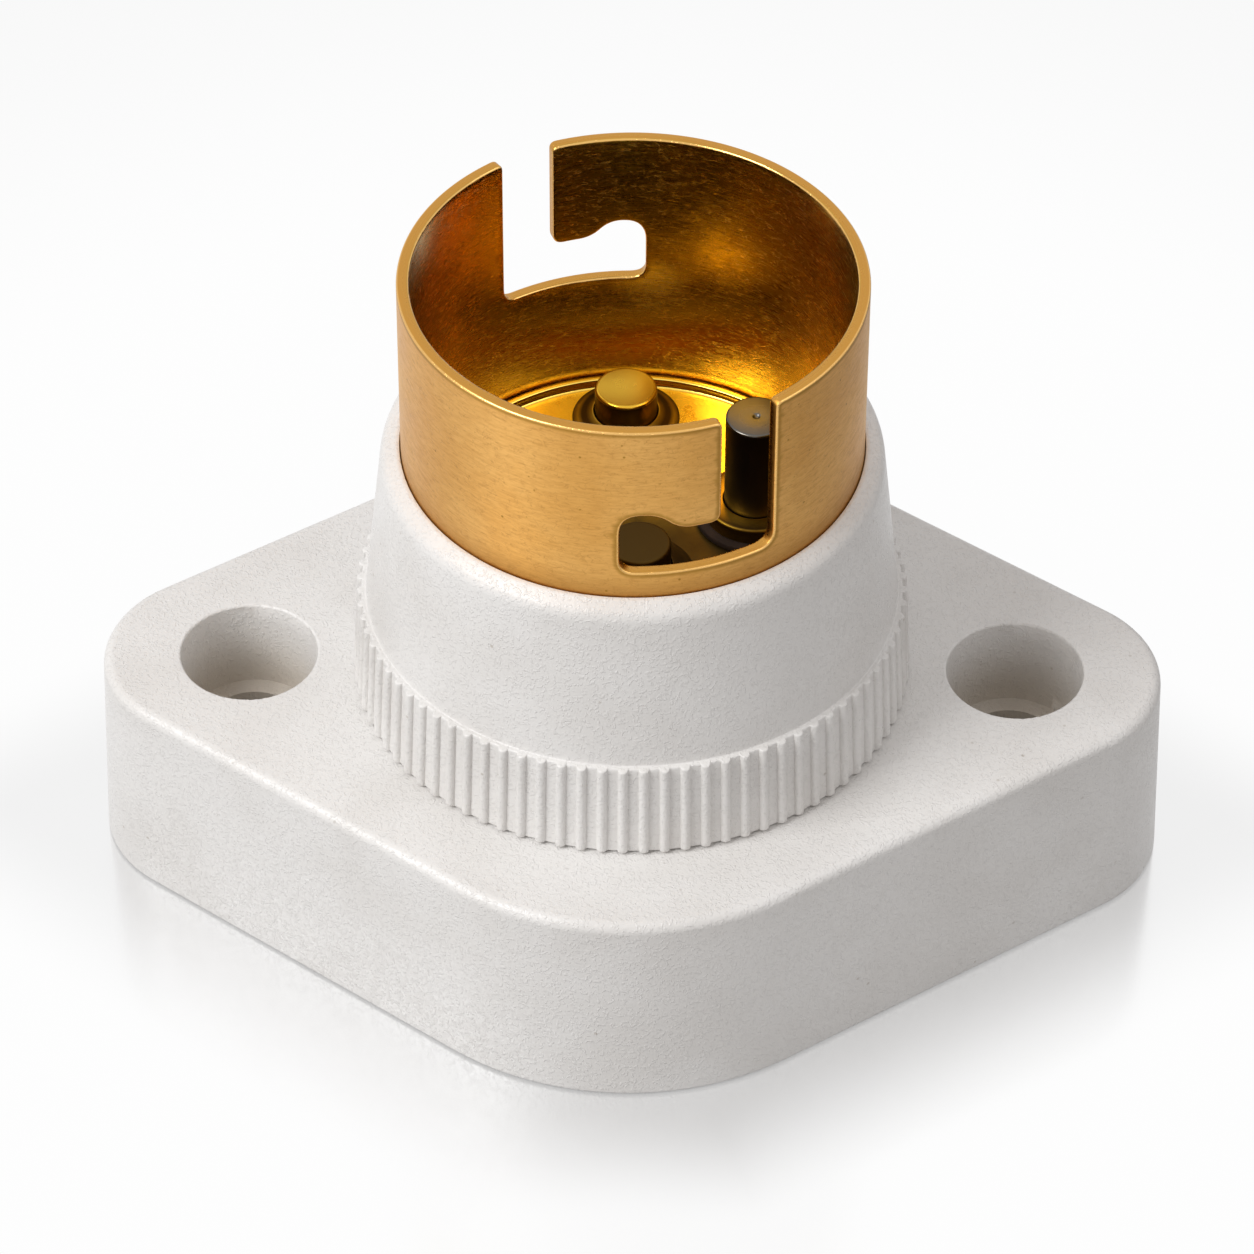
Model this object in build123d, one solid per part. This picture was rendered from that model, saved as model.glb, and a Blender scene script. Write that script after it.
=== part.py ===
from build123d import *
from math import cos, pi, radians, sin, tan
import os

# Sizes are in millimetres and angles in degrees. +Z is up, the two fixing holes lie along X,
# and the origin is the middle of the base's underside.

# Base: a lozenge moulding, hollow behind, with a threaded spigot on top
base_length = 57.2
base_width = 40.7
base_height = 12.1
base_end_radius = 6.7
base_side_radius = 15.1
base_draft = 1.75
base_edge_round = 0.6
base_wall = 2.2
base_plate_thickness = 3.0
fixing_spacing = 40.9
fixing_hole_radius = 2.5
counterbore_radius = 3.66
counterbore_depth = 5.3
counterbore_draft = 2.0
counterbore_mouth_round = 0.15
fixing_boss_wall = 2.6
spigot_height = 6.0
spigot_wall = 2.3
spigot_lead_in = 0.4
well_wall_height = 4.1
well_rib_thickness = 1.8
wire_gap_width = 16.0

# Bayonet sleeve: a drawn brass tube with a turned-out foot
sleeve_outer_radius = 12.0
sleeve_wall = 0.65
sleeve_length = 19.2
foot_flange_width = 0.55
foot_bend_round = 0.5

# Bayonet slots: an entry from the rim, a channel to one side and a raised seat at its end
slot_entry_width = 3.0
slot_channel_top = 6.45
slot_channel_bottom = 9.25
slot_seat_top = 5.45
slot_seat_width = 2.66
slot_seat_flat = 0.06
slot_turn = 25.7
slot_corner_round = 0.85
slot_tongue_round = 0.6
slot_rim_round = 0.4

# Collar: a moulded ring that screws down over the sleeve's foot
collar_height = 15.6
collar_base_gap = 0.1
collar_sleeve_gap = 0.05
collar_top_radius = 12.99
collar_cone_radius = 14.03
collar_land_width = 0.2
collar_land_drop = 0.55
collar_edge_round = 0.5
grip_height = 5.7
grip_radius = 14.55
grip_top_radius = 14.28
grip_edge_chamfer = 0.12
rib_count = 84
rib_width = 0.54
rib_height = 0.26
rib_facets = 4
thread_clearance = 0.06

# Slip ring between the collar's shoulder and the sleeve's foot
slip_ring_thickness = 0.4
slip_ring_clearance = 0.05

# Carrier: the insulating plug that holds the contacts
carrier_flange_thickness = 1.2
carrier_plug_depth = 5.7
carrier_crown_height = 2.3
carrier_clearance = 0.1
carrier_wall = 1.6
carrier_roof = 2.0
key_width = 2.0
key_depth = 1.0
key_clearance = 0.1
foot_clearance = 0.15

# Floor pan: a shallow brass dish that closes the bottom of the sleeve
pan_thickness = 0.6
pan_rim_height = 1.1
pan_rim_wall = 0.45
pan_bend_round = 0.4

# The contacts lie across the fixing line, turned a little with the whole inside
inside_turn = 5.0
contact_radius = 6.4
plunger_radius = 1.6
plunger_stand = 5.6
plunger_shoulder_radius = 1.85
plunger_shoulder_height = 1.0
plunger_tail_radius = 0.8
plunger_travel = 4.4
plunger_end_gap = 0.3
plunger_clearance = 0.05
plunger_edge_chamfer = 0.12
centre_mark_radius = 0.14
centre_mark_depth = 0.1
barrel_wall = 0.32
barrel_lip_depth = 1.2
barrel_flange_radius = 2.65
barrel_flange_thickness = 0.9
bush_wall = 0.35
bush_flange_radius = 3.1
bush_flange_thickness = 0.35
bush_depth = 1.0
assembly_clearance = 0.05
tower_wall = 1.0

# Contact springs
spring_wire_radius = 0.2
spring_turns = 4.5
spring_clearance = 0.15

# Terminals: brass blocks under the contacts, each with a cross hole for the wire and a screw
terminal_width = 5.2
terminal_depth = 6.4
terminal_height = 6.0
terminal_neck_height = 1.2
terminal_edge_chamfer = 0.3
wire_hole_radius = 1.3
wire_hole_height = 2.6
screw_radius = 1.2
screw_head_radius = 2.0
screw_head_height = 1.3
screw_back_off = 0.6
screw_tip_entry = 0.7
driver_slot_width = 0.6
driver_slot_depth = 0.7

# Fixing posts: brass studs that hold the floor pan to the carrier
post_circle_radius = 6.1
post_radius = 1.65
post_stand = 3.9
post_edge_chamfer = 0.16
post_shank_radius = 1.2
post_shank_end = 0.6
spacer_radius = 2.62
spacer_thickness = 2.4
spacer_slope = 0.45
nut_across_flats = 4.2
nut_thickness = 1.6

# Heights and radii that follow from the sizes above
spigot_radius = sleeve_outer_radius + foot_flange_width + foot_clearance
spigot_bore_radius = spigot_radius - spigot_wall
spigot_top = base_height + spigot_height
carrier_flange_top = spigot_top + carrier_flange_thickness
carrier_bottom = spigot_top - carrier_plug_depth
carrier_top = carrier_flange_top + carrier_crown_height
carrier_plug_radius = spigot_bore_radius - carrier_clearance
foot_radius = sleeve_outer_radius + foot_flange_width
sleeve_bore_radius = sleeve_outer_radius - sleeve_wall
sleeve_foot = carrier_flange_top
sleeve_rim = sleeve_foot + sleeve_length
crown_radius = sleeve_bore_radius - carrier_clearance
slip_ring_bottom = sleeve_foot + sleeve_wall
collar_bore_radius = sleeve_outer_radius + collar_sleeve_gap
collar_cavity_radius = spigot_radius + thread_clearance
collar_bottom = base_height + collar_base_gap
collar_top = base_height + collar_height
collar_shoulder = slip_ring_bottom + slip_ring_thickness
grip_top = base_height + grip_height
floor_level = carrier_top + pan_thickness
barrel_top = floor_level + bush_flange_thickness + barrel_flange_thickness
barrel_lip_bottom = barrel_top - barrel_lip_depth
barrel_bore_radius = plunger_shoulder_radius + plunger_clearance
barrel_radius = barrel_bore_radius + barrel_wall
bush_radius = barrel_radius + assembly_clearance + bush_wall
spring_seat = carrier_bottom + terminal_neck_height
spring_top = barrel_lip_bottom - plunger_shoulder_height
terminal_bottom = carrier_bottom - terminal_height
tower_radius = barrel_radius + assembly_clearance + tower_wall
nut_corner_radius = nut_across_flats / 2 / cos(radians(30))
nut_pocket_radius = nut_corner_radius + carrier_clearance
post_tower_radius = nut_pocket_radius + tower_wall / 2
post_tower_bottom = carrier_bottom + nut_thickness
fixing_boss_radius = counterbore_radius + fixing_boss_wall


def disc(radius, bottom, top, x=0.0, y=0.0):
    """A plain cylinder between two heights."""
    return Pos(x, y, bottom) * extrude(Circle(radius), top - bottom)


def block(width, depth, bottom, top, x=0.0, y=0.0):
    """A plain box between two heights, centred on x and y."""
    return Pos(x, y, bottom) * extrude(Rectangle(width, depth), top - bottom)


def turned(*points):
    """A solid turned about Z from a closed profile of (radius, height) points."""
    profile = make_face(Polyline(*points, close=True))
    return revolve(Plane.XZ * profile, Axis.Z)


def inside(shape, side=0.0):
    """Turn a piece of the inside to its real direction; side picks the other one of a pair."""
    return Rot(Z=inside_turn + side) * shape


def lozenge(inset=0.0):
    """The base's outline: the hull of two end circles and two side circles, moved in by inset."""
    end_x = base_length / 2 - base_end_radius
    side_y = base_width / 2 - base_side_radius
    with BuildSketch() as outline:
        with Locations((end_x, 0), (-end_x, 0)):
            Circle(base_end_radius - inset)
        with Locations((0, side_y), (0, -side_y)):
            Circle(base_side_radius - inset)
        make_hull()
    return outline.sketch


def drafted(inset, height):
    """The lozenge raised to a height, with its wall leaning in by the draft."""
    lean = height * tan(radians(base_draft))
    return loft([lozenge(inset), Pos(0, 0, height) * lozenge(inset + lean)], ruled=True)


def make_base():
    body = drafted(0, base_height)
    body = fillet(body.faces().sort_by(Axis.Z)[-1].edges(), base_edge_round)
    ceiling = base_height - base_plate_thickness
    body -= drafted(base_wall, ceiling)

    # The well wall stands under the plate round the carrier, open on two sides for the wires
    well = disc(spigot_radius, ceiling - well_wall_height, ceiling)
    well -= block(wire_gap_width, base_width, 0, ceiling)
    body += well
    for side in (-1, 1):
        hole_x = side * fixing_spacing / 2
        body += disc(fixing_boss_radius, 0, ceiling, x=hole_x)
        body += block(fixing_spacing / 2 - spigot_bore_radius, well_rib_thickness,
                      ceiling - well_wall_height, ceiling,
                      x=side * (fixing_spacing / 2 + spigot_bore_radius) / 2)

    spigot = disc(spigot_radius, base_height - base_plate_thickness, spigot_top)
    spigot = chamfer(spigot.faces().sort_by(Axis.Z)[-1].edges(), spigot_lead_in)
    body += spigot
    body -= disc(spigot_bore_radius, 0, spigot_top)
    for side in (0, 180):
        notch = block(2 * (key_depth + key_clearance), key_width + 2 * key_clearance,
                      spigot_top - key_depth - key_clearance, spigot_top, x=spigot_bore_radius)
        body -= inside(notch, side)

    for side in (-1, 1):
        hole_x = side * fixing_spacing / 2
        body -= disc(fixing_hole_radius, 0, base_height, x=hole_x)
        mouth = Pos(hole_x, 0, base_height) * Circle(counterbore_radius)
        body -= extrude(mouth, -counterbore_depth, taper=counterbore_draft)
    mouths = body.edges().filter_by(GeomType.CIRCLE).filter_by(
        lambda edge: abs(edge.radius - counterbore_radius) < 0.01)
    return fillet(mouths, counterbore_mouth_round)


def slot_cutter():
    """The cutter of one bayonet slot, its entry along +X and its seat clockwise from it."""
    bottom = sleeve_rim - slot_channel_bottom
    channel_top = sleeve_rim - slot_channel_top
    above = sleeve_rim + sleeve_wall
    wall_middle = (sleeve_outer_radius + sleeve_bore_radius) / 2
    ring_width = 4 * sleeve_wall
    reach = 6 * sleeve_wall

    entry = block(reach, slot_entry_width, bottom, above, x=wall_middle)
    entry_foot = entry.edges().filter_by(Axis.X).sort_by(Axis.Z)[:2]
    entry = fillet(entry_foot.sort_by(Axis.Y)[-1:], slot_corner_round)

    seat = block(reach, slot_seat_width, bottom, sleeve_rim - slot_seat_top, x=wall_middle)
    seat_head = seat.edges().filter_by(Axis.X).sort_by(Axis.Z)[-2:]
    seat = fillet(seat_head, slot_seat_width / 2 - slot_seat_flat / 2)
    seat_foot = seat.edges().filter_by(Axis.X).filter_by(GeomType.LINE).sort_by(Axis.Z)[:2]
    seat = fillet(seat_foot.sort_by(Axis.Y)[:1], slot_corner_round)

    section = Pos(wall_middle, (bottom + channel_top) / 2) * Rectangle(ring_width, channel_top - bottom)
    channel = revolve(Plane.XZ * section, Axis.Z, slot_turn)
    cutter = entry + Rot(Z=-slot_turn) * (seat + channel)
    roof_corners = cutter.edges().filter_by(GeomType.LINE).filter_by(
        lambda edge: abs(edge.center().Z - channel_top) < 0.01)
    return fillet(roof_corners, slot_tongue_round)


def make_sleeve():
    body = turned((sleeve_bore_radius, sleeve_foot), (foot_radius, sleeve_foot),
                  (foot_radius, sleeve_foot + sleeve_wall),
                  (sleeve_outer_radius, sleeve_foot + sleeve_wall),
                  (sleeve_outer_radius, sleeve_rim), (sleeve_bore_radius, sleeve_rim))
    bend = body.edges().filter_by(GeomType.CIRCLE).filter_by(
        lambda circle: abs(circle.radius - sleeve_bore_radius) < 0.01).sort_by(Axis.Z)[:1]
    body = fillet(bend, foot_bend_round)
    for side in (0, 180):
        body -= inside(Rot(Z=-90 + slot_turn) * slot_cutter(), side)
        notch = block(foot_flange_width, key_width + 2 * key_clearance, sleeve_foot,
                      sleeve_foot + sleeve_wall, x=foot_radius - foot_flange_width / 2 + key_clearance / 2)
        body -= inside(notch, side)
    corners = body.edges().filter_by(GeomType.LINE).filter_by(
        lambda edge: abs(edge.center().Z - sleeve_rim) < 0.01)
    return fillet(corners, slot_rim_round)


def grip_section(height, valley_radius):
    """The grip's section at one height: half-round ribs standing on a circle."""
    pitch = 2 * pi / rib_count
    half_rib = rib_width / 2 / grip_radius
    points = []
    for number in range(rib_count):
        for step in range(rib_facets + 1):
            sweep_angle = pi * step / rib_facets
            angle = number * pitch - half_rib * cos(sweep_angle)
            radius = valley_radius + rib_height * sin(sweep_angle)
            points.append((radius * cos(angle), radius * sin(angle)))
    return Pos(0, 0, height) * make_face(Polyline(*points, close=True))


def make_collar():
    slope = (collar_cone_radius - collar_top_radius) / (collar_height - grip_height)
    edge_radius = collar_top_radius + slope * collar_land_drop
    land_radius = collar_bore_radius + collar_land_width
    cone = turned((collar_cavity_radius, grip_top), (collar_cone_radius, grip_top),
                  (edge_radius, collar_top - collar_land_drop), (land_radius, collar_top),
                  (collar_bore_radius, collar_top), (collar_bore_radius, collar_shoulder),
                  (collar_cavity_radius, collar_shoulder))
    edge = cone.edges().filter_by(GeomType.CIRCLE).filter_by(
        lambda circle: abs(circle.center().Z - collar_top + collar_land_drop) < 0.01)
    cone = fillet(edge, collar_edge_round)

    # The ribbed band leans in towards its top, where its edge is broken all round
    chamfer_start = grip_top - grip_edge_chamfer
    band = loft([grip_section(collar_bottom, grip_radius), grip_section(chamfer_start, grip_top_radius),
                 grip_section(grip_top, grip_top_radius - grip_edge_chamfer)], ruled=True)
    return cone + (band - disc(collar_cavity_radius, collar_bottom, grip_top))


def make_slip_ring():
    outer = collar_cavity_radius - slip_ring_clearance
    return (disc(outer, slip_ring_bottom, collar_shoulder)
            - disc(collar_bore_radius, slip_ring_bottom, collar_shoulder))


def make_carrier():
    body = disc(carrier_plug_radius, carrier_bottom, spigot_top)
    body += disc(foot_radius, spigot_top, carrier_flange_top)
    body += disc(crown_radius, carrier_flange_top, carrier_top)
    body -= disc(carrier_plug_radius - carrier_wall, carrier_bottom, carrier_top - carrier_roof)
    for side in (0, 180):
        tower = disc(tower_radius, carrier_bottom, carrier_top, x=contact_radius)
        post_tower = disc(post_tower_radius, post_tower_bottom, carrier_top, y=post_circle_radius)
        body += Rot(Z=side) * (tower + post_tower)
    for side in (0, 180):
        key = block(2 * key_depth, key_width, spigot_top - key_depth, spigot_top, x=carrier_plug_radius)
        pip = block(foot_flange_width - 2 * key_clearance, key_width, carrier_flange_top,
                    carrier_flange_top + sleeve_wall - key_clearance,
                    x=sleeve_outer_radius + foot_flange_width / 2)
        body += Rot(Z=side) * (key + pip)
        barrel_hole = disc(barrel_radius + assembly_clearance, carrier_bottom, carrier_top,
                           x=contact_radius)
        bush_hole = disc(bush_radius + assembly_clearance, carrier_top - bush_depth, carrier_top,
                         x=contact_radius)
        shank_hole = disc(post_shank_radius + assembly_clearance, carrier_bottom, carrier_top,
                          y=post_circle_radius)
        nut_pocket = disc(nut_pocket_radius, carrier_bottom, post_tower_bottom, y=post_circle_radius)
        body -= Rot(Z=side) * (barrel_hole + bush_hole + shank_hole + nut_pocket)
    return inside(body)


def make_floor_pan():
    rim_top = carrier_top + pan_rim_height
    rim_inner = crown_radius - pan_rim_wall
    body = disc(crown_radius, carrier_top, rim_top) - disc(rim_inner, floor_level, rim_top)
    bend = body.edges().filter_by(GeomType.CIRCLE).filter_by(
        lambda edge: abs(edge.center().Z - floor_level) < 0.01)
    body = fillet(bend, pan_bend_round)
    for side in (0, 180):
        bush_hole = disc(bush_radius + assembly_clearance, carrier_top, rim_top, x=contact_radius)
        shank_hole = disc(post_shank_radius + assembly_clearance, carrier_top, rim_top,
                          y=post_circle_radius)
        body -= Rot(Z=side) * (bush_hole + shank_hole)
    return inside(body)


def make_bush(side):
    tube = disc(bush_radius, carrier_top - bush_depth, floor_level, x=contact_radius)
    flange = disc(bush_flange_radius, floor_level, floor_level + bush_flange_thickness, x=contact_radius)
    bore = disc(barrel_radius + assembly_clearance, carrier_top - bush_depth, barrel_top,
                x=contact_radius)
    return inside(tube + flange - bore, side)


def make_barrel(side):
    flange_bottom = floor_level + bush_flange_thickness
    bore = plunger_radius + plunger_clearance
    barrel = turned((barrel_bore_radius, carrier_bottom), (barrel_radius, carrier_bottom),
                    (barrel_radius, flange_bottom), (barrel_flange_radius, flange_bottom),
                    (barrel_flange_radius, barrel_top), (bore, barrel_top),
                    (bore, barrel_lip_bottom), (barrel_bore_radius, barrel_lip_bottom))
    return inside(Pos(contact_radius, 0, 0) * barrel, side)


def make_plunger(side):
    top = barrel_top + plunger_stand
    tail_end = spring_seat + plunger_travel + plunger_end_gap
    plunger = turned((0, tail_end), (plunger_tail_radius, tail_end), (plunger_tail_radius, spring_top),
                     (plunger_shoulder_radius, spring_top), (plunger_shoulder_radius, barrel_lip_bottom),
                     (plunger_radius, barrel_lip_bottom), (plunger_radius, top - plunger_edge_chamfer),
                     (plunger_radius - plunger_edge_chamfer, top), (centre_mark_radius, top),
                     (0, top - centre_mark_depth))
    return inside(Pos(contact_radius, 0, 0) * plunger, side)


def make_spring(side):
    coil_radius = plunger_tail_radius + spring_clearance + spring_wire_radius
    height = spring_top - spring_seat - 2 * spring_wire_radius
    path = Helix(height / spring_turns, height, coil_radius)
    wire = Plane(origin=path @ 0, x_dir=(1, 0, 0), z_dir=path % 0) * RegularPolygon(spring_wire_radius, 4)
    coil = sweep(wire, path=path, is_frenet=True)
    return inside(Pos(contact_radius, 0, spring_seat + spring_wire_radius) * coil, side)


def make_terminal(side):
    body = block(terminal_width, terminal_depth, terminal_bottom, carrier_bottom, x=contact_radius)
    body = chamfer(body.edges().filter_by(Axis.Z), terminal_edge_chamfer)
    body += disc(barrel_bore_radius, carrier_bottom, spring_seat, x=contact_radius)
    wire_hole = Pos(contact_radius, 0, terminal_bottom + wire_hole_height) * Rot(X=90) * extrude(
        Circle(wire_hole_radius), terminal_depth, both=True)
    screw_hole = disc(screw_radius + assembly_clearance, terminal_bottom,
                      terminal_bottom + wire_hole_height, x=contact_radius)
    return inside(body - wire_hole - screw_hole, side)


def make_terminal_screw(side):
    head_top = terminal_bottom - screw_back_off
    head = disc(screw_head_radius, head_top - screw_head_height, head_top, x=contact_radius)
    head = chamfer(head.faces().sort_by(Axis.Z)[0].edges(), plunger_edge_chamfer)
    shank_end = terminal_bottom + wire_hole_height - wire_hole_radius + screw_tip_entry
    shank = disc(screw_radius, head_top, shank_end, x=contact_radius)
    shank = chamfer(shank.faces().sort_by(Axis.Z)[-1].edges(), screw_radius / 4)
    driver_slot = block(2 * screw_head_radius, driver_slot_width, head_top - screw_head_height,
                        head_top - screw_head_height + driver_slot_depth, x=contact_radius)
    return inside(head + shank - driver_slot, side)


def make_post(side):
    head = disc(post_radius, floor_level, floor_level + post_stand, y=post_circle_radius)
    head = chamfer(head.faces().sort_by(Axis.Z)[-1].edges(), post_edge_chamfer)
    shank = disc(post_shank_radius, carrier_bottom - post_shank_end, floor_level, y=post_circle_radius)
    return inside(head + shank, side)


def make_post_spacer(side):
    top = floor_level + spacer_thickness
    bore = post_radius + assembly_clearance
    spacer = turned((bore, floor_level), (spacer_radius, floor_level),
                    (spacer_radius, top - spacer_slope), (bore, top))
    return inside(Pos(0, post_circle_radius, 0) * spacer, side)


def make_post_nut(side):
    hexagon = RegularPolygon(nut_across_flats / 2, 6, major_radius=False)
    nut = Pos(0, post_circle_radius, carrier_bottom) * extrude(hexagon, nut_thickness)
    nut -= disc(post_shank_radius + assembly_clearance, carrier_bottom, post_tower_bottom,
                y=post_circle_radius)
    return inside(nut, side)


pieces = {
    "base": make_base(),
    "collar": make_collar(),
    "slip_ring": make_slip_ring(),
    "sleeve": make_sleeve(),
    "carrier": make_carrier(),
    "floor_pan": make_floor_pan(),
}
for end, side in (("right", 0), ("left", 180)):
    pieces["insulating_bush_" + end] = make_bush(side)
    pieces["barrel_" + end] = make_barrel(side)
    pieces["plunger_" + end] = make_plunger(side)
    pieces["contact_spring_" + end] = make_spring(side)
    pieces["terminal_" + end] = make_terminal(side)
    pieces["terminal_screw_" + end] = make_terminal_screw(side)
for end, side in (("rear", 0), ("front", 180)):
    pieces["fixing_post_" + end] = make_post(side)
    pieces["post_spacer_" + end] = make_post_spacer(side)
    pieces["post_nut_" + end] = make_post_nut(side)

os.makedirs("parts", exist_ok=True)
for name, piece in pieces.items():
    export_step(piece, "parts/" + name + ".step")
    print(name, "volume", round(piece.volume, 2))
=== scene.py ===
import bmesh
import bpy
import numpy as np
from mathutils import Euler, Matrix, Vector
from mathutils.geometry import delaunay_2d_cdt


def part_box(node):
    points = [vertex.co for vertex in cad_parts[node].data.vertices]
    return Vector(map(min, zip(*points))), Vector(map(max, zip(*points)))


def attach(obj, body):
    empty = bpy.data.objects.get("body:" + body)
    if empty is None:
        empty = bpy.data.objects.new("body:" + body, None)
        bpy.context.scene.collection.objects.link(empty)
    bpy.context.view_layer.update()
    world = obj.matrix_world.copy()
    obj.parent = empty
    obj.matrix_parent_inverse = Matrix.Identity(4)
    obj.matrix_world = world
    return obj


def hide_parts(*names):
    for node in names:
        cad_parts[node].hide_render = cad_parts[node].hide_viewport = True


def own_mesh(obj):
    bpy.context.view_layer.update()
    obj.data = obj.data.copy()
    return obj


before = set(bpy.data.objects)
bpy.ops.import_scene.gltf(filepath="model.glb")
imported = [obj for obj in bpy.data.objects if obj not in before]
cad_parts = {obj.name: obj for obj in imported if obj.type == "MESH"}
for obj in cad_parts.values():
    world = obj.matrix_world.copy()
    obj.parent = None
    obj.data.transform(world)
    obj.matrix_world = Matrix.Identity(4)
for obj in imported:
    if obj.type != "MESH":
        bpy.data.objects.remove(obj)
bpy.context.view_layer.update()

# %% [markdown]
# # A bayonet lamp holder, dressed for its picture
# The holder is a moulded base with two fixing holes, a ribbed collar that screws down on it, and
# a brass sleeve with two J-shaped slots that takes a lamp's cap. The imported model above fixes
# every place and size, so this file only gives the pieces their fine surfaces and finishes.
# Sizes are written in millimetres and turned to metres when a mesh is made.

MM = 0.001


def heights(node):
    """The lowest and highest point of a CAD node, in millimetres."""
    low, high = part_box(node)
    return low.z / MM, high.z / MM


SLEEVE_FOOT, SLEEVE_RIM = heights("sleeve")
COLLAR_FOOT, COLLAR_TOP = heights("collar")
PAN_UNDER, PAN_RIM = heights("floor_pan")
print("sleeve from", round(SLEEVE_FOOT, 2), "to", round(SLEEVE_RIM, 2), "mm")

# %% [markdown]
# ## Camera
# The picture was taken with a long lens from above the front, so upright lines stay almost
# upright. The place and the angles come from fitting a camera to the rim, the collar's foot and
# the base's outline. A real camera is never quite level, hence the quarter degree of roll.

# %% Camera
CAMERA_PLACE = (6.85, -239.87, 235.84)
CAMERA_TILT = 47.32
CAMERA_TURN = 1.696
CAMERA_ROLL = 0.24
CAMERA_LENS = 176.4

camera = bpy.data.objects.new("camera", bpy.data.cameras.new("camera"))
bpy.context.scene.collection.objects.link(camera)
camera.data.lens = CAMERA_LENS
camera.data.sensor_width = 36.0
camera.data.clip_start, camera.data.clip_end = 0.01, 20.0
aim = Euler((np.radians(CAMERA_TILT), 0, np.radians(CAMERA_TURN)), "XYZ").to_matrix()
roll = Matrix.Rotation(np.radians(CAMERA_ROLL), 3, "Z")
camera.rotation_euler = (aim @ roll).to_euler("XYZ")
camera.location = [value * MM for value in CAMERA_PLACE]
bpy.context.scene.camera = camera
bpy.context.scene.view_settings.view_transform = "Standard"
print("camera stands", round(np.linalg.norm(CAMERA_PLACE)), "mm from the holder's foot")

# %% [markdown]
# ## Shader formulas
# A finish on a real thing is a sum of small causes: grain, specks, scratches, wear. Each is a
# texture, and they are joined by plain arithmetic. One small class lets a node's output stand
# in a Python formula, so that `grain * 0.6 + scratches` adds the Math nodes itself.


# %% Formulas of nodes
class Wire:
    """A node's output that stands in a formula like a number."""

    def __init__(self, recipe, socket):
        self.recipe, self.socket = recipe, socket

    def maths(self, operation, *values):
        """A Math node of this operation on the values given, each a wire or a number."""
        return self.recipe.node("ShaderNodeMath", {"operation": operation}, dict(enumerate(values)))

    def __add__(self, other):
        return self.maths("ADD", self, other)

    def __sub__(self, other):
        return self.maths("SUBTRACT", self, other)

    def __rsub__(self, other):
        return self.maths("SUBTRACT", other, self)

    def __mul__(self, other):
        return self.maths("MULTIPLY", self, other)

    def __pow__(self, other):
        return self.maths("POWER", self, other)

    __radd__ = __add__
    __rmul__ = __mul__


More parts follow.
